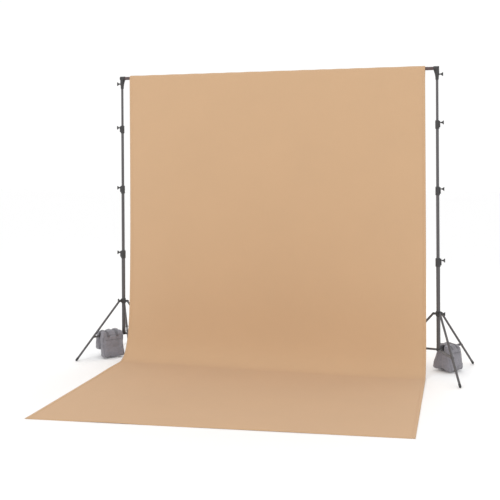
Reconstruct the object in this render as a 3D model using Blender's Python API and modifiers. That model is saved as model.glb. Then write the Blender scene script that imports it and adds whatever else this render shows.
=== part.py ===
"""A photo backdrop: a cloth on a crossbar between two telescoping light stands, swept onto the floor.

Metres, +Z up, floor at Z = 0, origin at the centre of the whole object's footprint box. In a stand's own
frame its pole is the Z axis and +X points away from the cloth, so the left stand is turned half round.
"""

import math

import bmesh
import bpy
from mathutils import Matrix, Vector

# Whole object
STAND_SPACING = 3.000
ROUND_STEPS = 16
GAP = 0.0003
MERGE = 0.00001

# Telescoping tubes, from the base tube up: outer radius and wall
TUBE_RADIUS = (0.0175, 0.0145, 0.0130, 0.0112)
TUBE_WALL = (0.0015, 0.0012, 0.0013, 0.0015)
TUBE_BOTTOM = 0.194
TUBE_OVERLAP = 0.160
KNOB_HEIGHT = (0.994, 1.626, 2.213)

# Collars, measured from the height of their knob
COLLAR_TOP = 0.020
COLLAR_BOTTOM = -0.055
COLLAR_STEP = -0.0115
COLLAR_WALL = 0.0055
COLLAR_CHAMFER = 0.005
BOSS_REACH = 0.007
BOSS_HALF_WIDTH = 0.008
BOSS_BOTTOM = -0.042
BOSS_TOP = 0.014

# Locking knobs, measured from the face of their boss
STEM_RADIUS = 0.0040
STEM_HOLE_RADIUS = 0.0044
STEM_DEPTH = 0.009
HOLE_DEPTH = 0.0105
WING_START = 0.008
WING_LENGTH = 0.023
WING_NARROW = 0.0065
WING_WIDE = 0.0175
WING_THICKNESS = 0.009

# Tripod: the hub slides on the base tube, and the spreader is fixed at its foot
HUB_HEIGHT = 0.522
HUB_HALF_HEIGHT = 0.022
RING_RADIUS = 0.0225
LEG_PIVOT_RADIUS = 0.045
LEG_RADIUS = 0.010
LEG_WALL = 0.0013
LEG_ANGLE = math.radians(40.8)
LEG_TOP = 0.009
FOOT_RADIUS = 0.0113
FOOT_SLEEVE = 0.022
FOOT_FLOOR = 0.004
BRACE_HEIGHT = 0.206
BRACE_PIVOT_RADIUS = 0.031
SPREADER_HALF_HEIGHT = 0.008
FIRST_LEG_AZIMUTH = {"left": math.radians(48.0), "right": math.radians(52.5)}

# Lugs, ears, braces and pins
SIDE_GAP = 0.0006
EAR_THICKNESS = 0.004
EAR_START = 0.0158
LUG_START = 0.0188
BOSS_START = 0.0195
EAR_RADIUS = 0.008
TAB_RADIUS = 0.0065
PIN_RADIUS = 0.0030
PIN_HOLE_RADIUS = 0.0033
PIN_PROUD = 0.0015
STRIP_THICKNESS = 0.002
STRIP_HALF_HEIGHT = 0.0065
SPACER_START = 0.008
SPACER_LENGTH = 0.009
RIVET_RADIUS = 0.0055

# Elbow that joins the top tube to the crossbar, measured from the crossbar's axis
BAR_HEIGHT = 2.693
ELBOW_RADIUS = 0.0195
ELBOW_OUTER_END = 0.018
ELBOW_INNER_END = 0.030
ELBOW_BORE_END = 0.010
SOCKET_BOTTOM = -0.100
SOCKET_BOTTOM_RADIUS = 0.0145
SOCKET_KNOB = -0.053
TOP_TUBE_END = -0.032
SOCKET_BOSS_FACE = 0.0215
GUSSET_THICKNESS = 0.008

# Crossbar: two thick tubes joined in the middle, with a thin one sliding in each outer end
BAR_THICK_RADIUS = 0.0205
BAR_THIN_RADIUS = 0.0155
BAR_WALL = 0.0015
BAR_THICK_END = 1.300
BAR_THIN_START = 0.900
JOINER_LENGTH = 0.070

# Cloth
CLOTH_LEFT = -1.412
CLOTH_RIGHT = 1.398
CLOTH_THICKNESS = 0.002
POCKET_RADIUS = 0.0232
HEM_BOTTOM = 2.600
DROP_LEAN = 0.041
DROP_LEAN_POWER = 4.4
SPLIT_HEIGHT = 0.500
FLOOR_START = -0.320
FRONT_LEFT = -2.018
FRONT_RIGHT = -1.775
BEND_STEPS = 10
DROP_STEPS = 8

# Sandbags: two pouches beside a brace and a yoke over it, in that brace's frame
POUCH_START = 0.035
POUCH_END = {"left": 0.262, "right": 0.226}
POUCH_INNER = 0.018
POUCH_OUTER = 0.106
POUCH_TOP = 0.224
POUCH_ROUNDING = 0.022
POUCH_BOTTOM = {"left": {"front": 0.0, "back": 0.060}, "right": {"front": 0.004, "back": 0.008}}
FRONT_SIGN = {"left": 1, "right": -1}
YOKE_START = 0.070
YOKE_END = {"left": 0.240, "right": 0.205}
YOKE_HALF_WIDTH = 0.060
YOKE_TOP = {"left": 0.254, "right": 0.238}
YOKE_ROUNDING = 0.010

# Sizes that follow
LEG_LENGTH = (HUB_HEIGHT - FOOT_RADIUS) / math.cos(LEG_ANGLE)
FOOT_REACH = LEG_PIVOT_RADIUS + LEG_LENGTH * math.sin(LEG_ANGLE)
BRACE_DROP = HUB_HEIGHT - BRACE_HEIGHT
BRACE_LENGTH = LEG_PIVOT_RADIUS + BRACE_DROP * math.tan(LEG_ANGLE) - BRACE_PIVOT_RADIUS
EAR_INNER = LEG_RADIUS + SIDE_GAP


def foot_corner(side, leg, axis):
    """Where a foot reaches along X or Y, with its stand's pole at the middle."""
    turn = math.pi if side == "left" else 0.0
    azimuth = turn + FIRST_LEG_AZIMUTH[side] + leg * math.tau / 3
    return FOOT_REACH * (math.cos(azimuth) if axis == "x" else math.sin(azimuth))


LOW_X = -STAND_SPACING / 2 + min(foot_corner("left", n, "x") for n in range(3)) - FOOT_RADIUS
HIGH_X = STAND_SPACING / 2 + max(foot_corner("right", n, "x") for n in range(3)) + FOOT_RADIUS
HIGH_Y = max(foot_corner(side, n, "y") for side in ("left", "right") for n in range(3)) + FOOT_RADIUS
POLE_LINE_X = -(LOW_X + HIGH_X) / 2
POLE_LINE_Y = -(FRONT_LEFT + HIGH_Y) / 2


def clear_scene():
    for obj in list(bpy.data.objects):
        bpy.data.objects.remove(obj, do_unlink=True)


def make_collection(name):
    collection = bpy.data.collections.new(name)
    bpy.context.scene.collection.children.link(collection)
    return collection


def make_material(name, color, roughness, metallic):
    material = bpy.data.materials.new(name)
    material.use_nodes = True
    shader = material.node_tree.nodes["Principled BSDF"]
    shader.inputs["Base Color"].default_value = (*color, 1.0)
    shader.inputs["Roughness"].default_value = roughness
    shader.inputs["Metallic"].default_value = metallic
    return material


def add_object(name, data, parent=None, collection=None):
    obj = bpy.data.objects.new(name, data)
    (collection or PARTS).objects.link(obj)
    obj.parent = parent
    return obj


def finish_part(obj, material, location=(0, 0, 0), rotation=(0, 0, 0)):
    obj.data.materials.clear()
    obj.data.materials.append(material)
    obj.location = location
    obj.rotation_euler = rotation
    obj.data.shade_smooth()
    return obj


def add_empty(name, parent=None, location=(0, 0, 0), turn=0.0):
    empty = add_object(name, None, parent)
    empty.location = location
    empty.rotation_euler = (0, 0, turn)
    return empty


def turned(name, profile, parent=None, closed=True, steps=ROUND_STEPS):
    """A profile of (radius, height) points turned round Z. A solid one starts and ends on the axis."""
    mesh = bpy.data.meshes.new(name)
    count = len(profile)
    edges = [(n, n + 1) for n in range(count - 1)]
    if closed:
        edges.append((count - 1, 0))
    mesh.from_pydata([(radius, 0, height) for radius, height in profile], edges, [])
    obj = add_object(name, mesh, parent)
    screw = obj.modifiers.new("turn", "SCREW")
    screw.steps = steps
    screw.render_steps = steps
    screw.use_merge_vertices = not closed
    screw.merge_threshold = MERGE
    return obj


def tube(name, radius, wall, low, high, parent=None):
    inner = radius - wall
    return turned(name, [(radius, high), (radius, low), (inner, low), (inner, high)], parent)


def mesh_object(name, bm, parent=None):
    mesh = bpy.data.meshes.new(name)
    bm.to_mesh(mesh)
    bm.free()
    return add_object(name, mesh, parent)


def block(name, low, high, parent=None):
    bm = bmesh.new()
    bmesh.ops.create_cube(bm, size=1.0)
    bmesh.ops.scale(bm, vec=[b - a for a, b in zip(low, high)], verts=bm.verts)
    bmesh.ops.translate(bm, vec=[(a + b) / 2 for a, b in zip(low, high)], verts=bm.verts)
    return mesh_object(name, bm, parent)


def rod(name, radius, start, end, axis, offset=(0, 0, 0), steps=8):
    """A solid cylinder from start to end along X or Y."""
    bm = bmesh.new()
    length = end - start
    bmesh.ops.create_cone(bm, cap_ends=True, segments=steps, radius1=radius, radius2=radius, depth=length)
    turn_axis, angle = ("Y", math.pi / 2) if axis == "X" else ("X", -math.pi / 2)
    bmesh.ops.rotate(bm, matrix=Matrix.Rotation(angle, 3, turn_axis), verts=bm.verts)
    along = Vector((1, 0, 0)) if axis == "X" else Vector((0, 1, 0))
    bmesh.ops.translate(bm, vec=Vector(offset) + along * (start + end) / 2, verts=bm.verts)
    return mesh_object(name, bm)


def plate(name, outline, low, high):
    """An outline in X and Z, given its thickness along Y from low to high."""
    bm = bmesh.new()
    near = [bm.verts.new((x, low, z)) for x, z in outline]
    far = [bm.verts.new((x, high, z)) for x, z in outline]
    bm.faces.new(near)
    bm.faces.new(reversed(far))
    for n in range(len(outline)):
        bm.faces.new((near[n - 1], near[n], far[n], far[n - 1]))
    bmesh.ops.recalc_face_normals(bm, faces=bm.faces)
    return mesh_object(name, bm)


def arc(centre_x, centre_z, radius, first, last, steps):
    """Points on an arc, with its angles in degrees from +X towards +Z."""
    angles = [math.radians(first + (last - first) * n / steps) for n in range(steps + 1)]
    return [(centre_x + radius * math.cos(a), centre_z + radius * math.sin(a)) for a in angles]


def combine(target, tool, operation, turn=0.0):
    """Joins tool to target, or cuts it out. Tool is in target's own frame, turned about Z."""
    for collection in tool.users_collection:
        collection.objects.unlink(tool)
    CUTTERS.objects.link(tool)
    tool.parent = target
    tool.rotation_euler = (0, 0, turn)
    tool.hide_render = True
    tool.display_type = "WIRE"
    boolean = target.modifiers.new(tool.name, "BOOLEAN")
    boolean.operation = operation
    boolean.object = tool


def join(target, tool, turn=0.0):
    combine(target, tool, "UNION", turn)


def cut(target, tool, turn=0.0):
    combine(target, tool, "DIFFERENCE", turn)


def rounded(obj, width, segments=2):
    bevel = obj.modifiers.new("rounding", "BEVEL")
    bevel.width = width
    bevel.segments = segments
    bevel.limit_method = "ANGLE"


def knob(name, parent, location):
    """A stem that screws into its boss along +X, with a flat flared wing to hold."""
    narrow_end = WING_START + WING_LENGTH / 3
    wide_start = WING_START + WING_LENGTH * 0.8
    tip = WING_START + WING_LENGTH
    waist = WING_NARROW * 1.15
    upper = [(WING_START, WING_NARROW), (narrow_end, waist), (wide_start, WING_WIDE), (tip, WING_WIDE * 0.94)]
    lower = [(x, -z) for x, z in reversed(upper)]
    wing = plate(name, upper + lower, -WING_THICKNESS / 2, WING_THICKNESS / 2)
    join(wing, rod(name + "_stem", STEM_RADIUS, -STEM_DEPTH, WING_START + 0.004, "X"))
    join(wing, rod(name + "_neck", WING_NARROW, WING_START - 0.003, narrow_end, "X", steps=12))
    wing.parent = parent
    return finish_part(wing, PLASTIC, location)


def knob_hole(name, face, height):
    """The hole for a knob's stem, from a boss face at this reach along X."""
    return rod(name, STEM_HOLE_RADIUS, face - HOLE_DEPTH, face + 0.002, "X", (0, 0, height))


def collar(side, level, stand):
    """The clamp at the top of one tube, which holds the next one."""
    outer = TUBE_RADIUS[level]
    inner = TUBE_RADIUS[level + 1]
    wall = outer + COLLAR_WALL
    profile = [
        (inner + COLLAR_CHAMFER, COLLAR_TOP),
        (wall, COLLAR_TOP - COLLAR_CHAMFER),
        (wall, COLLAR_BOTTOM + COLLAR_CHAMFER),
        (wall - 0.001, COLLAR_BOTTOM),
        (outer + GAP, COLLAR_BOTTOM),
        (outer + GAP, COLLAR_STEP),
        (inner + GAP, COLLAR_STEP),
        (inner + GAP, COLLAR_TOP),
    ]
    name = f"{side}_collar_{level + 1}"
    obj = turned(name, profile, stand)
    face = wall + BOSS_REACH
    low = (inner + 0.003, -BOSS_HALF_WIDTH, COLLAR_STEP + 0.002)
    join(obj, block(name + "_boss", low, (face, BOSS_HALF_WIDTH, BOSS_TOP)))
    low = (wall - 0.003, -BOSS_HALF_WIDTH, BOSS_BOTTOM)
    join(obj, block(name + "_web", low, (face, BOSS_HALF_WIDTH, COLLAR_STEP + 0.003)))
    cut(obj, knob_hole(name + "_hole", face, 0))
    height = KNOB_HEIGHT[level]
    knob(name + "_knob", stand, (face, 0, height))
    return finish_part(obj, PLASTIC, (0, 0, height))


def telescoping_tubes(side, stand):
    """The base tube and the three risers, each ending in the collar above it, and the three collars."""
    lows = [TUBE_BOTTOM] + [height - TUBE_OVERLAP for height in KNOB_HEIGHT]
    highs = [height + COLLAR_STEP - GAP for height in KNOB_HEIGHT] + [BAR_HEIGHT + TOP_TUBE_END - GAP]
    names = [f"{side}_base_tube"] + [f"{side}_riser_{n}" for n in (1, 2, 3)]
    for name, radius, wall, low, high in zip(names, TUBE_RADIUS, TUBE_WALL, lows, highs):
        finish_part(tube(name, radius, wall, low, high, stand), TUBE_METAL)
    for level in range(len(KNOB_HEIGHT)):
        collar(side, level, stand)


def ring(name, half_height, stand, height):
    bore = TUBE_RADIUS[0] + GAP
    profile = [
        (RING_RADIUS, half_height),
        (RING_RADIUS, -half_height),
        (bore, -half_height),
        (bore, half_height),
    ]
    return finish_part(turned(name, profile, stand), PLASTIC, (0, 0, height))


def lug(name, start, reach, radius, low, high):
    """A flat lug from inside a ring's wall out to a rounded end about its pivot."""
    outline = arc(reach, 0, radius, -90, 90, 6) + [(start, radius), (start, -radius)]
    return plate(name, outline, low, high)


def hub(side, stand, azimuths):
    """The sliding hub: a pair of ears and a pin for each leg, and a boss for its knob."""
    name = f"{side}_hub"
    obj = ring(name, HUB_HALF_HEIGHT, stand, HUB_HEIGHT)
    far = EAR_INNER + EAR_THICKNESS
    for n, azimuth in enumerate(azimuths, 1):
        join(obj, lug(f"{name}_ear_a{n}", EAR_START, LEG_PIVOT_RADIUS, EAR_RADIUS, EAR_INNER, far), azimuth)
        join(obj, lug(f"{name}_ear_b{n}", EAR_START, LEG_PIVOT_RADIUS, EAR_RADIUS, -far, -EAR_INNER), azimuth)
        reach = far + PIN_PROUD
        pin = rod(f"{name}_pin_{n}", PIN_RADIUS, -reach, reach, "Y", (LEG_PIVOT_RADIUS, 0, 0))
        join(obj, pin, azimuth)
    face = RING_RADIUS + BOSS_REACH
    low = (BOSS_START, -BOSS_HALF_WIDTH, -BOSS_TOP)
    join(obj, block(name + "_boss", low, (face, BOSS_HALF_WIDTH, BOSS_TOP)))
    cut(obj, knob_hole(name + "_hole", face, 0))
    knob(name + "_knob", stand, (face, 0, HUB_HEIGHT))


def spreader(side, stand, azimuths):
    """The fixed bracket at the foot of the base tube, with a lug for each brace."""
    name = f"{side}_spreader"
    obj = ring(name, SPREADER_HALF_HEIGHT, stand, BRACE_HEIGHT)
    half = EAR_INNER - GAP
    for n, azimuth in enumerate(azimuths, 1):
        join(obj, lug(f"{name}_lug_{n}", LUG_START, BRACE_PIVOT_RADIUS, TAB_RADIUS, -half, half), azimuth)
        offset = (BRACE_PIVOT_RADIUS, 0, 0)
        cut(obj, rod(f"{name}_hole_{n}", PIN_HOLE_RADIUS, -0.02, 0.02, "Y", offset), azimuth)


def leg_and_foot(side, n, spoke):
    """A tube that hangs down its own Z axis from the pivot at its origin, and its rubber foot."""
    name = f"{side}_leg_{n}"
    end = -LEG_LENGTH + FOOT_FLOOR + GAP
    leg = tube(name, LEG_RADIUS, LEG_WALL, end, LEG_TOP, spoke)
    cut(leg, rod(name + "_hole", PIN_HOLE_RADIUS, -0.02, 0.02, "Y"))
    finish_part(leg, TUBE_METAL, (LEG_PIVOT_RADIUS, 0, HUB_HEIGHT), (0, -LEG_ANGLE, 0))
    sleeve = LEG_RADIUS + GAP
    lean = math.degrees(LEG_ANGLE)
    ball = [90, (90 + lean) / 2, lean, lean / 2]
    profile = [(0, FOOT_FLOOR), (sleeve, FOOT_FLOOR), (sleeve, FOOT_SLEEVE), (FOOT_RADIUS, FOOT_SLEEVE)]
    profile += [
        (FOOT_RADIUS * math.sin(math.radians(a)), -FOOT_RADIUS * math.cos(math.radians(a))) for a in ball
    ]
    profile.append((0, -FOOT_RADIUS))
    foot = turned(f"{side}_foot_{n}", profile, leg, closed=False)
    finish_part(foot, RUBBER, (0, 0, -LEG_LENGTH))


def brace(side, n, spoke):
    """Two flat strips either side of the leg, tied by a spacer and by the pin at the spreader."""
    name = f"{side}_brace_{n}"
    inner = EAR_INNER
    outer = inner + STRIP_THICKNESS
    half = STRIP_HALF_HEIGHT
    outline = arc(BRACE_LENGTH, 0, half, -90, 90, 4) + arc(0, 0, half, 90, 270, 4)
    obj = plate(name, outline, inner, outer)
    join(obj, plate(name + "_strip", outline, -outer, -inner))
    spacer_end = SPACER_START + SPACER_LENGTH
    low = (SPACER_START, -inner - 0.001, -half + 0.001)
    join(obj, block(name + "_spacer", low, (spacer_end, inner + 0.001, half - 0.001)))
    join(obj, rod(name + "_pin", PIN_RADIUS - 0.0002, -outer - PIN_PROUD, outer + PIN_PROUD, "Y"))
    near, far = inner + 0.001, outer + PIN_PROUD
    for word, start, end in (("near", -far, -near), ("far", near, far)):
        join(obj, rod(f"{name}_rivet_{word}", RIVET_RADIUS, start, end, "Y", (BRACE_LENGTH, 0, 0)))
    obj.parent = spoke
    finish_part(obj, TUBE_METAL, (BRACE_PIVOT_RADIUS, 0, BRACE_HEIGHT))


def elbow(side, stand):
    """The cast fitting on the top tube: a tapered socket below, and a barrel for the crossbar's end."""
    name = f"{side}_elbow"
    profile = [
        (0, 0),
        (ELBOW_RADIUS - 0.001, 0),
        (ELBOW_RADIUS, SOCKET_KNOB),
        (SOCKET_BOTTOM_RADIUS + 0.001, SOCKET_BOTTOM + 0.025),
        (SOCKET_BOTTOM_RADIUS, SOCKET_BOTTOM),
        (0, SOCKET_BOTTOM),
    ]
    obj = turned(name, profile, stand, closed=False)
    join(obj, rod(name + "_barrel", ELBOW_RADIUS, -ELBOW_INNER_END, ELBOW_OUTER_END, "X", steps=ROUND_STEPS))
    gusset = [(-0.012, -0.010), (-0.012, -0.058), (-0.019, -0.054), (-0.028, -0.022), (-0.028, -0.010)]
    join(obj, plate(name + "_gusset", gusset, -GUSSET_THICKNESS / 2, GUSSET_THICKNESS / 2))
    join(obj, rod(name + "_boss", BOSS_HALF_WIDTH, 0.012, SOCKET_BOSS_FACE, "X", (0, 0, SOCKET_KNOB), 12))
    bore_end = ELBOW_INNER_END + 0.01
    bore = rod(name + "_bore", BAR_THIN_RADIUS + GAP, -bore_end, ELBOW_BORE_END, "X", steps=ROUND_STEPS)
    cut(obj, bore)
    socket_radius = TUBE_RADIUS[3] + GAP
    socket = turned(
        name + "_socket",
        [(0, TOP_TUBE_END), (socket_radius, TOP_TUBE_END), (socket_radius, -0.2), (0, -0.2)],
        closed=False,
    )
    cut(obj, socket)
    cut(obj, rod(name + "_hole", STEM_HOLE_RADIUS, 0.0122, 0.03, "X", (0, 0, SOCKET_KNOB)))
    finish_part(obj, PLASTIC, (0, 0, BAR_HEIGHT))
    knob(name + "_knob", stand, (SOCKET_BOSS_FACE, 0, BAR_HEIGHT + SOCKET_KNOB))


def sandbag(side, spoke):
    """Two pouches beside the first brace, and the yoke that joins them over it."""
    for where, bottom in POUCH_BOTTOM[side].items():
        sign = FRONT_SIGN[side] if where == "front" else -FRONT_SIGN[side]
        sides = sorted((sign * POUCH_INNER, sign * POUCH_OUTER))
        low = (POUCH_START, sides[0], bottom)
        pouch = block(f"{side}_bag_{where}", low, (POUCH_END[side], sides[1], POUCH_TOP), spoke)
        rounded(pouch, POUCH_ROUNDING)
        finish_part(pouch, BAG_FABRIC)
    low = (YOKE_START, -YOKE_HALF_WIDTH, POUCH_TOP + GAP)
    yoke = block(f"{side}_bag_yoke", low, (YOKE_END[side], YOKE_HALF_WIDTH, YOKE_TOP[side]), spoke)
    rounded(yoke, YOKE_ROUNDING)
    finish_part(yoke, BAG_FABRIC)


def light_stand(side):
    turn = math.pi if side == "left" else 0.0
    x = POLE_LINE_X + (-STAND_SPACING / 2 if side == "left" else STAND_SPACING / 2)
    stand = add_empty(f"{side}_stand", location=(x, POLE_LINE_Y, 0), turn=turn)
    azimuths = [FIRST_LEG_AZIMUTH[side] + n * math.tau / 3 for n in range(3)]
    telescoping_tubes(side, stand)
    hub(side, stand, azimuths)
    spreader(side, stand, azimuths)
    elbow(side, stand)
    for n, azimuth in enumerate(azimuths, 1):
        spoke = add_empty(f"{side}_spoke_{n}", stand, turn=azimuth)
        leg_and_foot(side, n, spoke)
        brace(side, n, spoke)
        if n == 1:
            sandbag(side, spoke)


def crossbar():
    """Four tubes along X: each thick one holds a thin end, and the left thick one plugs into the right."""
    middle = add_empty("crossbar_middle", location=(POLE_LINE_X, POLE_LINE_Y, BAR_HEIGHT))
    along_x = (0, math.pi / 2, 0)
    bore = BAR_THICK_RADIUS - BAR_WALL
    plug = bore - GAP
    left_profile = [
        (plug, JOINER_LENGTH),
        (plug, -GAP),
        (BAR_THICK_RADIUS, -GAP),
        (BAR_THICK_RADIUS, -BAR_THICK_END),
        (bore, -BAR_THICK_END),
        (bore, -JOINER_LENGTH),
        (plug - BAR_WALL, -JOINER_LENGTH + 0.005),
        (plug - BAR_WALL, JOINER_LENGTH),
    ]
    finish_part(turned("crossbar_left_tube", left_profile, middle), BAR_METAL, rotation=along_x)
    right = tube("crossbar_right_tube", BAR_THICK_RADIUS, BAR_WALL, 0, BAR_THICK_END, middle)
    finish_part(right, BAR_METAL, rotation=along_x)
    thin_end = STAND_SPACING / 2 + ELBOW_BORE_END - GAP
    for side, low, high in (("left", -thin_end, -BAR_THIN_START), ("right", BAR_THIN_START, thin_end)):
        thin = tube(f"crossbar_{side}_end", BAR_THIN_RADIUS, BAR_WALL, low, high, middle)
        finish_part(thin, BAR_METAL, rotation=along_x)


def bezier(a, b, c, d, t):
    s = 1 - t
    return tuple(
        s**3 * p + 3 * s * s * t * q + 3 * s * t * t * r + t**3 * u for p, q, r, u in zip(a, b, c, d)
    )


def drop_y(height):
    """How far forward the hanging cloth is: upright at the top and leaning out towards the sweep."""
    down = (BAR_HEIGHT - height) / (BAR_HEIGHT - SPLIT_HEIGHT)
    return -POCKET_RADIUS - DROP_LEAN * down**DROP_LEAN_POWER


def drop_path():
    """(Y, Z) of the cloth from its hem behind the bar, over it, and down in front to the split."""
    hem = [(-POCKET_RADIUS + 0.004, HEM_BOTTOM)]
    over = [(y, BAR_HEIGHT + z) for y, z in arc(0, 0, POCKET_RADIUS, -30, 180, 9)]
    heights = [BAR_HEIGHT + (SPLIT_HEIGHT - BAR_HEIGHT) * n / DROP_STEPS for n in range(1, DROP_STEPS + 1)]
    return hem + over + [(drop_y(height), height) for height in heights]


def sweep_path(front):
    """(Y, Z) of the cloth from the split down, round the bend and along the floor to its front edge."""
    floor = CLOTH_THICKNESS / 2
    start = (drop_y(SPLIT_HEIGHT), SPLIT_HEIGHT - GAP)
    bend = (start, (-0.085, 0.22), (-0.14, floor), (FLOOR_START, floor))
    points = [bezier(*bend, n / BEND_STEPS) for n in range(BEND_STEPS + 1)]
    middle = (FLOOR_START + front) / 2
    return points + [(middle, floor), (front, floor)]


def cloth(name, left_path, right_path):
    """A sheet between two paths of (Y, Z), one at each edge of the cloth, given its thickness."""
    bm = bmesh.new()
    chains = []
    for x, path in ((CLOTH_LEFT, left_path), (CLOTH_RIGHT, right_path)):
        verts = [bm.verts.new((x, y, z)) for y, z in path]
        chains += [bm.edges.new(pair) for pair in zip(verts, verts[1:])]
    bmesh.ops.bridge_loops(bm, edges=chains)
    bmesh.ops.recalc_face_normals(bm, faces=bm.faces)
    obj = mesh_object(name, bm)
    solidify = obj.modifiers.new("thickness", "SOLIDIFY")
    solidify.thickness = CLOTH_THICKNESS
    solidify.offset = 0
    solidify.use_even_offset = True
    finish_part(obj, CLOTH, (POLE_LINE_X, POLE_LINE_Y, 0))


def backdrop_cloth():
    cloth("cloth_drop", drop_path(), drop_path())
    cloth("cloth_sweep", sweep_path(FRONT_LEFT), sweep_path(FRONT_RIGHT))


clear_scene()
PARTS = make_collection("photo_backdrop")
CUTTERS = make_collection("cutters")
TUBE_METAL = make_material("black_tube", (0.09, 0.088, 0.09), 0.42, 0.6)
PLASTIC = make_material("black_plastic", (0.05, 0.05, 0.05), 0.6, 0.0)
RUBBER = make_material("rubber", (0.03, 0.03, 0.03), 0.8, 0.0)
BAR_METAL = make_material("bar_tube", (0.19, 0.13, 0.13), 0.45, 0.5)
CLOTH = make_material("backdrop_cloth", (0.64, 0.42, 0.24), 0.9, 0.0)
BAG_FABRIC = make_material("sandbag_fabric", (0.23, 0.22, 0.24), 0.85, 0.0)
light_stand("left")
light_stand("right")
crossbar()
backdrop_cloth()
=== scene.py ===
"""Looks for the photo backdrop: cloth, sandbags, finishes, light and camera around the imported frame."""

import math

import bmesh
import bpy
import numpy as np
from mathutils import Matrix, Vector, noise
from mathutils.bvhtree import BVHTree


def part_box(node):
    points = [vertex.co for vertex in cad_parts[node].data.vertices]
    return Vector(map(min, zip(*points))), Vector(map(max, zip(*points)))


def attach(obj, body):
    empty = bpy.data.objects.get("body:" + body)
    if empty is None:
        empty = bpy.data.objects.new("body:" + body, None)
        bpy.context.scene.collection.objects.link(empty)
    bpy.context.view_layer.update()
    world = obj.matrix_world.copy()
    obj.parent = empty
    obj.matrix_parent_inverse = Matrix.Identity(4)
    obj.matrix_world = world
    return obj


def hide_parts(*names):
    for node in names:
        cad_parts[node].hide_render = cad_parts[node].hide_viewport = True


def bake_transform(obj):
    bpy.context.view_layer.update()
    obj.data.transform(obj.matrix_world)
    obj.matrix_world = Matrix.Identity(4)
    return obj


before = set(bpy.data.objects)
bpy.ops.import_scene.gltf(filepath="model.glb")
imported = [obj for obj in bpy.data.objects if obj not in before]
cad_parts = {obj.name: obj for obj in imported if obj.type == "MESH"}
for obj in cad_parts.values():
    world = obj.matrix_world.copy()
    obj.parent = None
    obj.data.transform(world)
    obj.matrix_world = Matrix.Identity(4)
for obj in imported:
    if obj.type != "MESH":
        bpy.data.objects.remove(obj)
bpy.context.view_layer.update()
SCENE = bpy.context.scene


# ---------------------------------------------------------------- places, all from the frame

def centre(node):
    low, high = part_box(node)
    return (low + high) / 2


POLES = {side: centre(f"{side}_base_tube") for side in ("left", "right")}
MID = (POLES["left"] + POLES["right"]) / 2
BAR = centre("crossbar_left_tube")
SWEEP_LOW, SWEEP_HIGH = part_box("cloth_sweep")


# ---------------------------------------------------------------- camera, stage and light

CAMERA_FROM_MID = Vector((1.7205, -7.3842, 0.0))
CAMERA_HEIGHT = 1.9098
CAMERA_YAW = math.radians(14.68)
CAMERA_PITCH = math.radians(-0.15)
CAMERA_ROLL = math.radians(-0.345)
CAMERA_LENS = 58.62
CAMERA_SENSOR = 36.0
CAMERA_SHIFT_Y = -0.1798
CAMERA_CLIP_END = 200.0

SKY_STRENGTH = 1.03
LIGHT_AIM = Vector((0.0, 0.0, 0.9))
LIGHT_SIZE = 3.0
# name, place, power in watts
LIGHTS = (
    ("key", (-3.5, -6.5, 5.5), 70.0),
    ("fill", (5.0, -5.0, 3.5), 30.0),
    ("back", (1.0, 5.0, 5.0), 60.0),
)


def set_camera():
    data = bpy.data.cameras.new("camera")
    data.lens = CAMERA_LENS
    data.sensor_width = CAMERA_SENSOR
    data.shift_y = CAMERA_SHIFT_Y
    data.clip_end = CAMERA_CLIP_END
    camera = bpy.data.objects.new("camera", data)
    SCENE.collection.objects.link(camera)
    place = Matrix.Translation(Vector((MID.x, MID.y, CAMERA_HEIGHT)) + CAMERA_FROM_MID)
    turn = (
        Matrix.Rotation(CAMERA_YAW, 4, "Z")
        @ Matrix.Rotation(math.pi / 2 + CAMERA_PITCH, 4, "X")
        @ Matrix.Rotation(CAMERA_ROLL, 4, "Z")
    )
    camera.matrix_world = place @ turn
    SCENE.camera = camera


def set_light():
    world = bpy.data.worlds.new("studio")
    world.use_nodes = True
    background = world.node_tree.nodes["Background"]
    background.inputs["Color"].default_value = (1.0, 1.0, 1.0, 1.0)
    background.inputs["Strength"].default_value = SKY_STRENGTH
    SCENE.world = world
    SCENE.view_settings.view_transform = "Standard"
    for name, spot, power in LIGHTS:
        data = bpy.data.lights.new(name, "AREA")
        data.energy = power
        data.size = LIGHT_SIZE
        lamp = bpy.data.objects.new(name, data)
        lamp.location = spot
        aim = LIGHT_AIM - Vector(spot)
        lamp.rotation_euler = aim.to_track_quat("-Z", "Y").to_euler()
        SCENE.collection.objects.link(lamp)


# ---------------------------------------------------------------- material nodes

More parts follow.
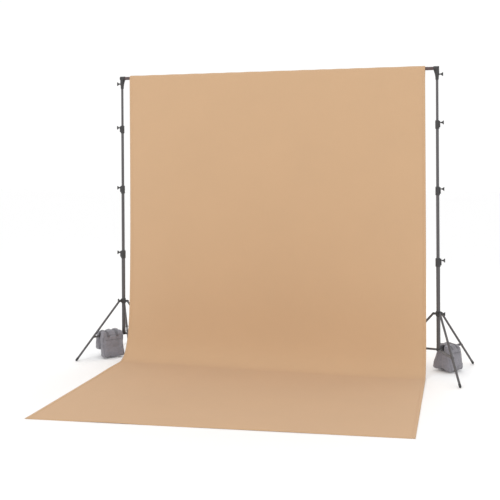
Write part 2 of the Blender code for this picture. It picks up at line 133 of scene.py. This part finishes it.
class Nodes:
    """A Principled material and short ways to add nodes to it."""

    def __init__(self, name, color, roughness, metallic=0.0):
        self.material = bpy.data.materials.new(name)
        self.material.use_nodes = True
        self.tree = self.material.node_tree
        self.shader = self.tree.nodes["Principled BSDF"]
        self.set(self.shader, "Base Color", (*color, 1.0))
        self.set(self.shader, "Roughness", roughness)
        self.set(self.shader, "Metallic", metallic)
        self.color = color

    def set(self, node, socket, value):
        node.inputs[socket].default_value = value

    def link(self, a, b):
        self.tree.links.new(a, b)

    def add(self, kind, **inputs):
        node = self.tree.nodes.new(kind)
        for key, value in inputs.items():
            node.inputs[key.replace("_", " ")].default_value = value
        return node

    def coordinates(self, source="Object", scale=(1, 1, 1)):
        where = self.add("ShaderNodeTexCoord")
        mapping = self.add("ShaderNodeMapping", Scale=scale)
        self.link(where.outputs[source], mapping.inputs["Vector"])
        return mapping.outputs["Vector"]

    def noise(self, where, scale, detail=3.0, roughness=0.5):
        node = self.add("ShaderNodeTexNoise", Scale=scale, Detail=detail, Roughness=roughness)
        self.link(where, node.inputs["Vector"])
        return node.outputs["Fac"]

    def threads(self, where, scale, direction, distortion=0.0):
        node = self.add("ShaderNodeTexWave", Scale=scale, Distortion=distortion)
        node.bands_direction = direction
        self.link(where, node.inputs["Vector"])
        return node.outputs["Fac"]

    def math(self, operation, a, b):
        node = self.add("ShaderNodeMath")
        node.operation = operation
        for socket, value in zip(node.inputs, (a, b)):
            if isinstance(value, (int, float)):
                socket.default_value = value
            else:
                self.link(value, socket)
        return node.outputs["Value"]

    def remap(self, value, low, high, start=0.3, end=0.7):
        node = self.add("ShaderNodeMapRange")
        for socket, number in zip(("From Min", "From Max", "To Min", "To Max"), (start, end, low, high)):
            node.inputs[socket].default_value = number
        self.link(value, node.inputs["Value"])
        return node.outputs["Result"]

    def tint(self, factor, dark, light):
        """Base colour between two shades of the material's own colour."""
        ramp = self.add("ShaderNodeValToRGB")
        ramp.color_ramp.elements[0].position = 0.25
        ramp.color_ramp.elements[1].position = 0.75
        for element, share in zip(ramp.color_ramp.elements, (dark, light)):
            element.color = (*[min(1.0, c * share) for c in self.color], 1.0)
        self.link(factor, ramp.inputs["Fac"])
        self.link(ramp.outputs["Color"], self.shader.inputs["Base Color"])

    def bump(self, height, strength, distance):
        node = self.add("ShaderNodeBump", Strength=strength, Distance=distance)
        self.link(height, node.inputs["Height"])
        self.link(node.outputs["Normal"], self.shader.inputs["Normal"])


def tube_finish(name, color, roughness, metallic, along):
    """Satin tube: faint drawn streaks along it, a fine speckle, and uneven sheen."""
    m = Nodes(name, color, roughness, metallic)
    stretched = {"X": (2.0, 90.0, 90.0), "Z": (90.0, 90.0, 2.0)}[along]
    streaks = m.noise(m.coordinates(scale=stretched), 3.0, 4.0)
    blotches = m.noise(m.coordinates(), 11.0, 3.0)
    speckle = m.noise(m.coordinates(), 900.0, 2.0)
    m.tint(m.math("ADD", m.math("MULTIPLY", streaks, 0.5), m.math("MULTIPLY", blotches, 0.5)), 0.82, 1.25)
    m.link(m.remap(blotches, roughness - 0.08, roughness + 0.1), m.shader.inputs["Roughness"])
    m.bump(m.math("ADD", speckle, m.math("MULTIPLY", streaks, 0.6)), 0.12, 0.0004)
    return m.material


def plastic_finish(name, color, roughness):
    """Moulded plastic: a leathery grain and slightly polished patches where it is handled."""
    m = Nodes(name, color, roughness)
    where = m.coordinates()
    grain = m.add("ShaderNodeTexVoronoi", Scale=1400.0)
    m.link(where, grain.inputs["Vector"])
    patches = m.noise(where, 30.0, 4.0)
    m.tint(patches, 0.8, 1.35)
    m.link(m.remap(patches, roughness - 0.12, roughness + 0.1), m.shader.inputs["Roughness"])
    m.bump(grain.outputs["Distance"], 0.2, 0.0003)
    return m.material


def rubber_finish(name, color):
    """Matte rubber with dust in its pores and scuffs."""
    m = Nodes(name, color, 0.85)
    where = m.coordinates()
    dust = m.noise(where, 60.0, 6.0, 0.7)
    m.tint(dust, 0.75, 2.1)
    m.link(m.remap(dust, 0.72, 0.95), m.shader.inputs["Roughness"])
    m.bump(m.noise(where, 500.0, 4.0), 0.35, 0.0004)
    return m.material


# texture scales: the waves of the weave, and the noise across and along a slub
THREAD_SCALE = 210.0
SLUB_ACROSS = 260.0
SLUB_ALONG = 7.0


def cloth_finish(name, color):
    """Plain-weave cotton: crossing threads, slubs, and slow changes of shade from dyeing and handling."""
    m = Nodes(name, color, 0.92)
    m.set(m.shader, "Sheen Weight", 0.12)
    m.set(m.shader, "Sheen Roughness", 0.6)
    m.set(m.shader, "Specular IOR Level", 0.25)
    flat = m.coordinates("UV")
    weave = m.math("ADD", m.threads(flat, THREAD_SCALE, "X", 1.2), m.threads(flat, THREAD_SCALE, "Y", 1.2))
    warp_slubs = m.noise(m.coordinates("UV", (SLUB_ACROSS, SLUB_ALONG, 1.0)), 1.0, 3.0)
    weft_slubs = m.noise(m.coordinates("UV", (SLUB_ALONG, SLUB_ACROSS, 1.0)), 1.0, 3.0)
    slubs = m.math("ADD", warp_slubs, weft_slubs)
    dye = m.noise(flat, 1.6, 5.0, 0.6)
    shade = m.math("ADD", m.math("MULTIPLY", dye, 0.6), m.math("MULTIPLY", slubs, 0.2))
    m.tint(shade, 0.965, 1.035)
    m.link(m.remap(dye, 0.87, 0.97), m.shader.inputs["Roughness"])
    m.bump(m.math("ADD", weave, slubs), 0.18, 0.0004)
    return m.material


def nylon_finish(name, color, roughness=0.62, pitch=150.0):
    """Coarse woven nylon: a basket weave in every direction, worn paler on the high spots."""
    m = Nodes(name, color, roughness)
    m.set(m.shader, "Sheen Weight", 0.25)
    m.set(m.shader, "Sheen Roughness", 0.45)
    where = m.coordinates()
    slanted = m.math("ADD", m.threads(where, pitch, "X", 1.5), m.threads(where, pitch, "Y", 1.5))
    weave = m.math("MULTIPLY", slanted, m.threads(where, pitch, "Z", 1.5))
    wear = m.noise(where, 14.0, 6.0, 0.65)
    m.tint(m.math("ADD", m.math("MULTIPLY", wear, 0.8), m.math("MULTIPLY", weave, 0.12)), 0.72, 1.3)
    m.link(m.remap(wear, roughness - 0.1, roughness + 0.15), m.shader.inputs["Roughness"])
    m.bump(m.math("ADD", weave, m.noise(where, 420.0, 2.0)), 0.45, 0.0007)
    return m.material


def floor_finish():
    m = Nodes("floor", (0.97, 0.97, 0.97), 0.8)
    m.set(m.shader, "Specular IOR Level", 0.1)
    return m.material


FINISH = {
    "black_tube": tube_finish("tube_dark", (0.105, 0.100, 0.103), 0.38, 0.55, "Z"),
    "bar_tube": tube_finish("tube_bar", (0.115, 0.08, 0.08), 0.42, 0.45, "X"),
    "black_plastic": plastic_finish("plastic_dark", (0.035, 0.034, 0.035), 0.5),
    "rubber": rubber_finish("rubber_foot", (0.03, 0.03, 0.03)),
    "backdrop_cloth": cloth_finish("cloth_tan", (0.585, 0.383, 0.226)),
    "sandbag_fabric": nylon_finish("nylon_grey", (0.226, 0.216, 0.240)),
}
WEBBING = nylon_finish("webbing_dark", (0.125, 0.120, 0.135), 0.55, 260.0)


# ---------------------------------------------------------------- pieces

def piece(name, bm, material):
    mesh = bpy.data.meshes.new(name)
    bm.to_mesh(mesh)
    bm.free()
    obj = bpy.data.objects.new(name, mesh)
    SCENE.collection.objects.link(obj)
    mesh.materials.append(material)
    mesh.shade_smooth()
    return obj


def applied(obj):
    """The object with its modifiers made part of its mesh."""
    graph = bpy.context.evaluated_depsgraph_get()
    mesh = bpy.data.meshes.new_from_object(obj.evaluated_get(graph))
    obj.modifiers.clear()
    old = obj.data
    obj.data = mesh
    bpy.data.meshes.remove(old)
    return obj


def finish_cad_nodes():
    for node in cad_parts.values():
        for slot in node.material_slots:
            slot.material = FINISH[slot.material.name.split(".")[0]]


# ---------------------------------------------------------------- cloth

CLOTH_THICKNESS = 0.0022
# the flat sheet: the number of columns across it between the hems
CLOTH_COLUMNS = 150

# the rod pocket: its end hangs behind the bar, as (Y, Z), and from there it turns round the bar
POCKET_RADIUS = 0.0232
POCKET_TAIL = ((-POCKET_RADIUS + 0.004, 2.600), (-0.0135, 2.615), (-0.0025, 2.640))
POCKET_START, POCKET_TURN, POCKET_STEPS = -30, 210, 12

# the drop leans forward by DROP_LEAN at its foot, mostly low down, and a Bezier curve bends it onto the floor
DROP_LEAN, DROP_CURVE, DROP_ROWS = 0.041, 4.4, 60
BEND_GUIDE, BEND_TOE, BEND_END, BEND_ROWS = (-0.085, 0.22), -0.14, -0.32, 40
FLOOR_ROWS = 46
FRONT_SKEW = 0.243

HEM, FRONT_HEM = 0.022, 0.035
HEM_RISE = 0.0012
HEM_STEP, FRONT_STEP = 0.0015, 0.001

# heights of the soft shapes on the sheet
FOLD_RISE, GATHER_RISE, RIPPLE_RISE, CREASE_RISE = 0.0022, 0.0010, 0.007, 0.003
BEND_MIDDLE, BEND_SPREAD = 2.72, 0.22


def cloth_profile(front):
    """(Y, Z) along the cloth from the hem behind the bar to its front edge, with Y counted from the bar."""
    points = list(POCKET_TAIL)
    for n in range(POCKET_STEPS + 1):
        a = math.radians(POCKET_START + POCKET_TURN * n / POCKET_STEPS)
        points.append((POCKET_RADIUS * math.cos(a), BAR.z + POCKET_RADIUS * math.sin(a)))
    split = SWEEP_HIGH.z
    for n in range(1, DROP_ROWS + 1):
        z = BAR.z + (split - BAR.z) * n / DROP_ROWS
        down = (BAR.z - z) / (BAR.z - split)
        points.append((-POCKET_RADIUS - DROP_LEAN * down**DROP_CURVE, z))
    floor = CLOTH_THICKNESS / 2
    a, b = Vector((points[-1][0], split)), Vector(BEND_GUIDE)
    c, d = Vector((BEND_TOE, floor)), Vector((BEND_END, floor))
    for n in range(1, BEND_ROWS + 1):
        t = n / BEND_ROWS
        s = 1 - t
        p = a * s**3 + b * 3 * s * s * t + c * 3 * s * t * t + d * t**3
        points.append((p.x, p.y))
    for n in range(1, FLOOR_ROWS + 1):
        points.append((d.x + (front - d.x) * n / FLOOR_ROWS, floor))
    return points


def cloth_wave(x, y, z, along):
    """How far the cloth stands off its smooth shape here: hanging folds, gathers, creases and ripples."""
    hang = min(1.0, max(0.0, (BAR.z - z) / 1.2)) * min(1.0, max(0.0, z / 0.3))
    folds = math.sin(5.1 * x + 0.7 + 0.35 * z) + 0.6 * math.sin(9.7 * x - 1.3 - 0.5 * z)
    folds += 0.5 * noise.noise(Vector((x * 2.3, z * 0.8, 4.0)))
    gather = math.exp(-((BAR.z - z) / 0.16) ** 2) if y < 0 else 0.0
    gathers = math.sin(31.0 * x + 3.0 * noise.noise(Vector((x * 1.7, 0.0, 9.0))))
    on_floor = min(1.0, max(0.0, (-0.12 - y) / 0.3))
    ripple = max(0.0, noise.noise(Vector((x * 1.9, y * 2.6, 1.0))) + 0.15)
    bend = math.exp(-((along - BEND_MIDDLE) / BEND_SPREAD) ** 2)
    crease = noise.noise(Vector((x * 7.0, along * 3.0, 6.0)))
    rise = FOLD_RISE * hang * folds + GATHER_RISE * gather * gathers
    return rise + RIPPLE_RISE * on_floor * ripple + CREASE_RISE * bend * crease


def make_cloth():
    """The sheet, as a grid whose UVs are metres across it and along it, with a raised hem on three edges."""
    left, right = SWEEP_LOW.x, SWEEP_HIGH.x
    width = right - left
    inner = [HEM + (width - 2 * HEM) * n / CLOTH_COLUMNS for n in range(CLOTH_COLUMNS + 1)]
    left_hem = [0.0, HEM * 0.5, HEM - HEM_STEP]
    right_hem = [width - HEM + HEM_STEP, width - HEM * 0.5, width]
    across = left_hem + inner + right_hem
    fronts = [SWEEP_LOW.y - BAR.y + FRONT_SKEW * u / width for u in across]
    bm = bmesh.new()
    uv_layer = bm.loops.layers.uv.new("UVMap")
    grid, flats = [], []
    for u, front in zip(across, fronts):
        profile = [Vector((0.0, BAR.y + y, z)) for y, z in cloth_profile(front)]
        lengths = np.cumsum([0.0] + [(b - a).length for a, b in zip(profile, profile[1:])])
        end = lengths[-1]
        column, flat = [], []
        for k, point in enumerate(profile):
            before, after = profile[max(k - 1, 0)], profile[min(k + 1, len(profile) - 1)]
            tangent = (after - before).normalized()
            normal = Vector((0.0, tangent.z, -tangent.y))
            x = left + u
            lift = cloth_wave(x, point.y - BAR.y, point.z, lengths[k])
            if 0.0 < u < HEM or width - HEM < u < width:
                lift += HEM_RISE
            if end - FRONT_HEM < lengths[k] < end - FRONT_STEP:
                lift += HEM_RISE
            place = Vector((x, point.y, point.z)) + normal * lift
            place.z = max(place.z, CLOTH_THICKNESS / 2)
            column.append(bm.verts.new(place))
            flat.append((u, lengths[k]))
        grid.append(column)
        flats.append(flat)
    for i in range(len(grid) - 1):
        for k in range(len(grid[0]) - 1):
            corners = ((i, k), (i + 1, k), (i + 1, k + 1), (i, k + 1))
            face = bm.faces.new([grid[a][b] for a, b in corners])
            for loop, (a, b) in zip(face.loops, corners):
                loop[uv_layer].uv = flats[a][b]
    obj = piece("cloth", bm, FINISH["backdrop_cloth"])
    solidify = obj.modifiers.new("thickness", "SOLIDIFY")
    solidify.thickness = CLOTH_THICKNESS
    solidify.offset = 0.0
    applied(obj)
    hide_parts("cloth_drop", "cloth_sweep")
    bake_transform(obj)


# ---------------------------------------------------------------- sandbags

VOXEL = 0.006
# the swelling: the most that a point may move, the pressure, and the frames it runs for
SWELL, SWELL_PRESSURE, SWELL_FRAMES = 0.009, 4.0, 20

# room for the moving parts: half the slot for the brace and leg, how far out the upright leg reaches,
# and the line that the foot stays above, as (distance out from the pole, height there, slope)
SLOT = 0.0176
FOLDED_LEG_REACH = 0.066
FOOT_LINE = (0.045, 0.200, -0.66)

CROWN = {"left": 0.241, "right": 0.230}
HUMPS = {"left": (3, 0.014), "right": (2, 0.003)}
HUMP_DEPTH = 0.030
BODY = {"left": "left_base", "right": "right_base"}

# how much of its reach from the brace a pouch keeps at its top, and how the lean grows on the way up
LEAN = {"left": {"front": 0.80, "back": 0.70}, "right": {"front": 0.66, "back": 0.36}}
LEAN_CURVE = 1.5
POUCH_LIFT, POUCH_LEAST = 0.008, 0.012
# up a pouch: share of its height, inset of its ends, of its inner face and of its outer face
POUCH_ROWS = (
    (0.00, 0.008, 0.008, 0.011),
    (0.07, 0.004, 0.004, 0.006),
    (0.30, 0.003, 0.002, 0.005),
    (0.60, 0.003, 0.002, 0.005),
    (0.86, 0.006, 0.002, 0.008),
    (1.00, 0.016, 0.002, 0.018),
)

CORE_LIFT, CORE_HEIGHTS = 0.012, (0.05, 0.09, 0.13, 0.165, 0.185)
CORE_HALF_WIDTH = SLOT + 0.012
CORE_INSET, CORE_OUTER_INSET, FOOT_CLEARANCE = 0.008, 0.016, 0.008

# the yoke, from its underside up: half widths of its three sections, and its ends' insets
YOKE_UNDERSIDE = 0.2258
YOKE_HALF_WIDTHS = (0.050, 0.058, 0.040)
YOKE_INSET, YOKE_TOP_INSET = 0.004, 0.008
PINNED_HALF_WIDTH, PINNED_DEPTH = 0.030, 0.012

GATHER_PITCH, GATHER_WANDER = 150.0, 5.0
RIPPLE_DEPTH, DENT_DEPTH, WRINKLE_DEPTH = 0.0016, 0.0042, 0.0015


def spoke_frame(side):
    """The frame of the bagged brace: +X out along it from the pole, +Z up, on the floor under the pole."""
    foot = centre(f"{side}_foot_1")
    pole = POLES[side]
    turn = math.atan2(foot.y - pole.y, foot.x - pole.x)
    return Matrix.Translation((pole.x, pole.y, 0.0)) @ Matrix.Rotation(turn, 4, "Z")


def extent(node, inverse):
    """Lowest and highest corner of a CAD node in the frame with this inverse."""
    points = [inverse @ v.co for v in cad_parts[node].data.vertices]
    return [Vector([pick(p[k] for p in points) for k in range(3)]) for pick in (min, max)]


def loft(bm, sections):
    """A closed box of stacked sections: (z, low x, high x, low y, high y)."""
    rings = []
    for z, x0, x1, y0, y1 in sections:
        rings.append([bm.verts.new(p) for p in ((x0, y0, z), (x1, y0, z), (x1, y1, z), (x0, y1, z))])
    for low, high in zip(rings, rings[1:]):
        for n in range(4):
            bm.faces.new((low[n], low[(n + 1) % 4], high[(n + 1) % 4], high[n]))
    bm.faces.new(reversed(rings[0]))
    bm.faces.new(rings[-1])


def pouch(bm, low, high, crown, lean):
    """A box of fabric inside its CAD pouch, which leans in towards the brace as it rises."""
    sign = 1 if high.y > 0 else -1
    inner, outer = sorted((abs(low.y), abs(high.y)))
    bottom = low.z + POUCH_LIFT
    sections = []
    for share, ends, inner_inset, outer_inset in POUCH_ROWS:
        far = (outer - outer_inset) * (1 - (1 - lean) * share**LEAN_CURVE)
        ys = sorted((sign * (inner + inner_inset), sign * max(far, inner + POUCH_LEAST)))
        sections.append((bottom + share * (crown - bottom), low.x + ends, high.x - ends, *ys))
    loft(bm, sections)


def foot_line(x):
    """Height under which the foot of the folding leg never comes, this far out from the pole."""
    start, height, slope = FOOT_LINE
    return height + slope * (x - start)


def core(bm, low, high):
    """The middle of the bag under the foot's path, which joins the two pouches."""
    start, height, slope = FOOT_LINE
    sections = []
    for z in (low.z + CORE_LIFT, *CORE_HEIGHTS):
        reach = min(high.x - CORE_OUTER_INSET, start + (z + FOOT_CLEARANCE - height) / slope)
        sections.append((z, low.x + CORE_INSET, reach, -CORE_HALF_WIDTH, CORE_HALF_WIDTH))
    loft(bm, sections)


def swell(obj, pinned):
    """Cloth under pressure, stepped frame by frame and applied, with a cap on how far a point moves."""
    rest = np.array([v.co for v in obj.data.vertices])
    group = obj.vertex_groups.new(name="pin")
    for vertex in obj.data.vertices:
        if pinned(vertex.co):
            group.add([vertex.index], 1.0, "REPLACE")
    cloth = obj.modifiers.new("cloth", "CLOTH")
    cloth.settings.quality = 6
    cloth.settings.mass = 0.3
    cloth.settings.tension_stiffness = 20
    cloth.settings.compression_stiffness = 20
    cloth.settings.bending_stiffness = 0.4
    cloth.settings.use_pressure = True
    cloth.settings.uniform_pressure_force = SWELL_PRESSURE
    cloth.settings.vertex_group_mass = "pin"
    cloth.settings.effector_weights.gravity = 0.0
    cloth.collision_settings.use_collision = False
    cloth.point_cache.frame_start = 1
    cloth.point_cache.frame_end = SWELL_FRAMES
    for number in range(1, SWELL_FRAMES + 1):
        SCENE.frame_set(number)
    applied(obj)
    SCENE.frame_set(1)
    moved = np.array([v.co for v in obj.data.vertices])
    step = moved - rest
    far = np.linalg.norm(step, axis=1, keepdims=True)
    step *= np.minimum(1.0, SWELL / np.maximum(far, 1e-9))
    obj.data.vertices.foreach_set("co", (rest + step).ravel())
    obj.vertex_groups.clear()


def bag_folds(co, low, crown):
    """How far the fabric stands off its smooth shape: gathers near the crown and slack dents lower down."""
    height = min(1.0, max(0.0, (co.z - low) / (crown - low)))
    gather = max(0.0, height - 0.6) / 0.4
    wave = math.sin(GATHER_PITCH * co.x + GATHER_WANDER * noise.noise(co * 11.0))
    ripple = wave * RIPPLE_DEPTH * gather
    return ripple + noise.noise(co * 17.0) * DENT_DEPTH + noise.noise(co * 43.0) * WRINKLE_DEPTH


def clear_slot(co):
    """Keeps the gap that the brace lies in and the leg folds through."""
    if abs(co.y) < SLOT and foot_line(co.x) < co.z < YOKE_UNDERSIDE:
        if YOKE_UNDERSIDE - co.z < SLOT - abs(co.y):
            co.z = YOKE_UNDERSIDE
        else:
            co.y = math.copysign(SLOT, co.y)
    if abs(co.y) < SLOT and co.z >= YOKE_UNDERSIDE:
        co.x = max(co.x, FOLDED_LEG_REACH)


def make_bag(side):
    """A saddle sandbag: two pouches, a core and a yoke, remeshed as one skin, swelled and creased."""
    spoke = spoke_frame(side)
    inverse = spoke.inverted()
    crown = CROWN[side]
    boxes = {where: extent(f"{side}_bag_{where}", inverse) for where in ("front", "back", "yoke")}
    bm = bmesh.new()
    for where in ("front", "back"):
        pouch(bm, *boxes[where], crown, LEAN[side][where])
    lowest = max((boxes["front"], boxes["back"]), key=lambda box: box[0].z)
    core(bm, *lowest)
    start, end = boxes["yoke"][0].x + YOKE_INSET, boxes["yoke"][1].x - YOKE_INSET
    low, middle, top = YOKE_HALF_WIDTHS
    loft(bm, (
        (YOKE_UNDERSIDE + 0.001, start, end, -low, low),
        (crown - 0.003, start, end, -middle, middle),
        (crown + 0.004, start + YOKE_TOP_INSET, end - YOKE_TOP_INSET, -top, top),
    ))
    bmesh.ops.recalc_face_normals(bm, faces=bm.faces)
    obj = piece(f"{side}_sandbag", bm, FINISH["sandbag_fabric"])
    remesh = obj.modifiers.new("voxels", "REMESH")
    remesh.mode = "VOXEL"
    remesh.voxel_size = VOXEL
    applied(obj)
    swell(obj, lambda co: abs(co.y) < PINNED_HALF_WIDTH and co.z > YOKE_UNDERSIDE - PINNED_DEPTH)
    settle(obj, side, boxes, crown)
    smooth = obj.modifiers.new("smooth", "SUBSURF")
    smooth.levels = smooth.render_levels = 1
    applied(obj)
    for vertex in obj.data.vertices:
        clear_slot(vertex.co)
    obj.data.materials.clear()
    obj.data.materials.append(FINISH["sandbag_fabric"])
    obj.data.shade_smooth()
    obj.matrix_world = spoke
    bpy.context.view_layer.update()
    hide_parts(f"{side}_bag_front", f"{side}_bag_back", f"{side}_bag_yoke")
    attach(obj, BODY[side])
    make_trim(side, obj, spoke, boxes, crown)


def settle(obj, side, boxes, crown):
    """Humps along the crown, folds in the fabric, and the flat underside of each pouch."""
    low, high = boxes["front"]
    count, rise = HUMPS[side]
    length = high.x - low.x
    for vertex in obj.data.vertices:
        co, normal = vertex.co, vertex.normal
        share = min(1.0, max(0.0, (co.x - low.x) / length))
        top = min(1.0, max(0.0, (co.z - crown + HUMP_DEPTH) / HUMP_DEPTH))
        hump = rise * abs(math.sin(math.pi * count * share)) * top
        co += normal * bag_folds(co, low.z, crown) + Vector((0.0, 0.0, hump))
        clear_slot(co)
        where = "front" if co.y * boxes["front"][1].y > 0 else "back"
        co.z = max(co.z, boxes[where][0].z + 0.001)


# ---------------------------------------------------------------- sandbag trim

WELT_RADIUS = 0.0017
ZIP_RADIUS = 0.0024
TUBE_SIDES = 6
# rays start this far out on either side of the bag and look in at it
EYE_DISTANCE = 0.3
# piping: a rounded rectangle inside the outer panel, where a lower SQUARENESS gives tighter corners
PIPING_STEPS, PIPING_SQUARENESS = 96, 0.3
PIPING_END_INSET, PIPING_TOP_INSET = 0.013, 0.019
ZIP_HEIGHT, ZIP_STEPS, ZIP_SHORTER = 0.74, 30, 0.036
# straps: shares along the yoke, an arc of rays in degrees round a centre, offsets across the webbing
STRAP_SHARES = (0.24, 0.76)
STRAP_START, STRAP_TURN, STRAP_STEPS = 22, 136, 28
STRAP_EYE_RADIUS, STRAP_CENTRE_HEIGHT = 0.26, 0.17
STRAP_OFFSETS = (-0.0125, -0.006, 0.0, 0.006, 0.0125)
STRAP_PROUD, STRAP_THICKNESS = 0.0012, 0.0018


def tube_along(bm, points, normals, radius, closed):
    """A tube with flat sides on a path, with its ends capped when the path is open."""
    rings, count = [], len(points)
    for n, (point, normal) in enumerate(zip(points, normals)):
        before = points[n - 1] if closed or n else point
        after = points[(n + 1) % count] if closed or n < count - 1 else point
        aside = (after - before).normalized().cross(normal).normalized()
        turns = [math.radians(360 // TUBE_SIDES * k) for k in range(TUBE_SIDES)]
        spokes = [(aside * math.cos(a) + normal * math.sin(a)) * radius for a in turns]
        rings.append([bm.verts.new(point + out) for out in spokes])
    pairs = list(zip(rings, rings[1:])) + ([(rings[-1], rings[0])] if closed else [])
    for a, b in pairs:
        for k in range(TUBE_SIDES):
            after = (k + 1) % TUBE_SIDES
            bm.faces.new((a[k], a[after], b[after], b[k]))
    if not closed:
        bm.faces.new(reversed(rings[0]))
        bm.faces.new(rings[-1])


def on_skin(tree, starts, aim):
    """Where rays first meet the bag's skin, and its normals there."""
    hits = [tree.ray_cast(start, aim) for start in starts]
    return [(hit, normal) for hit, normal, _, _ in hits if hit]


def trim_piece(name, side, spoke, bm, material):
    bmesh.ops.recalc_face_normals(bm, faces=bm.faces)
    obj = piece(name, bm, material)
    obj.matrix_world = spoke
    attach(obj, BODY[side])
    return obj


def make_trim(side, bag, spoke, boxes, crown):
    """Piping round each outer panel, a zip across it, and two webbing straps over the crown."""
    skin = bag.data
    tree = BVHTree.FromPolygons([v.co for v in skin.vertices], [p.vertices for p in skin.polygons])
    piping, zips = bmesh.new(), bmesh.new()
    for where in ("front", "back"):
        low, high = boxes[where]
        sign = 1 if high.y > 0 else -1
        aim = Vector((0.0, -sign, 0.0))
        mid = Vector(((low.x + high.x) / 2, sign * EYE_DISTANCE, (low.z + crown) / 2))
        half_length = (high.x - low.x) / 2 - PIPING_END_INSET
        half = Vector((half_length, 0.0, (crown - low.z) / 2 - PIPING_TOP_INSET))
        starts = []
        for n in range(PIPING_STEPS):
            turn = math.tau * n / PIPING_STEPS
            x, z = (math.copysign(abs(v) ** PIPING_SQUARENESS, v) for v in (math.cos(turn), math.sin(turn)))
            starts.append(mid + Vector((x * half.x, 0.0, z * half.z)))
        points, normals = zip(*on_skin(tree, starts, aim))
        tube_along(piping, points, normals, WELT_RADIUS, True)
        height = low.z + ZIP_HEIGHT * (crown - low.z)
        length = 2 * half.x - ZIP_SHORTER
        span = [mid.x + (n / ZIP_STEPS - 0.5) * length for n in range(ZIP_STEPS + 1)]
        points, normals = zip(*on_skin(tree, [Vector((x, mid.y, height)) for x in span], aim))
        tube_along(zips, points, normals, ZIP_RADIUS, False)
    trim_piece(f"{side}_sandbag_piping", side, spoke, piping, WEBBING)
    trim_piece(f"{side}_sandbag_zips", side, spoke, zips, WEBBING)
    make_straps(side, tree, spoke, boxes)


def make_straps(side, tree, spoke, boxes):
    """Webbing that runs over the crown and a little way down each pouch, laid on the bag's own skin."""
    start, end = boxes["yoke"][0].x, boxes["yoke"][1].x
    for number, share in enumerate(STRAP_SHARES, 1):
        reach = start + share * (end - start)
        rows = []
        middle = Vector((reach, 0.0, STRAP_CENTRE_HEIGHT))
        for n in range(STRAP_STEPS + 1):
            angle = math.radians(STRAP_START + STRAP_TURN * n / STRAP_STEPS)
            aside, up = STRAP_EYE_RADIUS * math.cos(angle), STRAP_EYE_RADIUS * math.sin(angle)
            eye = Vector((reach, aside, STRAP_CENTRE_HEIGHT + up))
            aim = (middle - eye).normalized()
            row = []
            for offset in STRAP_OFFSETS:
                hit, _, _, _ = tree.ray_cast(eye + Vector((offset, 0.0, 0.0)), aim)
                row.append(hit - aim * STRAP_PROUD if hit else None)
            if all(row):
                rows.append(row)
        bm = bmesh.new()
        verts = [[bm.verts.new(p) for p in row] for row in rows]
        for a, b in zip(verts, verts[1:]):
            for n in range(len(STRAP_OFFSETS) - 1):
                bm.faces.new((a[n], a[n + 1], b[n + 1], b[n]))
        strap = trim_piece(f"{side}_sandbag_strap_{number}", side, spoke, bm, WEBBING)
        thick = strap.modifiers.new("thickness", "SOLIDIFY")
        thick.thickness = STRAP_THICKNESS
        thick.offset = 0.0
        applied(strap)


# ---------------------------------------------------------------- floor

FLOOR_HALF_SIZE = 40.0
FLOOR_DROP = 0.0004


def make_floor():
    """A plain pale floor, a hair below the feet so that it never shares a plane with the cloth."""
    bm = bmesh.new()
    bmesh.ops.create_grid(bm, x_segments=1, y_segments=1, size=FLOOR_HALF_SIZE)
    mesh = bpy.data.meshes.new("floor")
    bm.to_mesh(mesh)
    bm.free()
    floor = bpy.data.objects.new("floor", mesh)
    floor.location = (0.0, 0.0, -FLOOR_DROP)
    mesh.materials.append(floor_finish())
    SCENE.collection.objects.link(floor)


set_camera()
set_light()
make_floor()
finish_cad_nodes()
make_cloth()
make_bag("left")
make_bag("right")
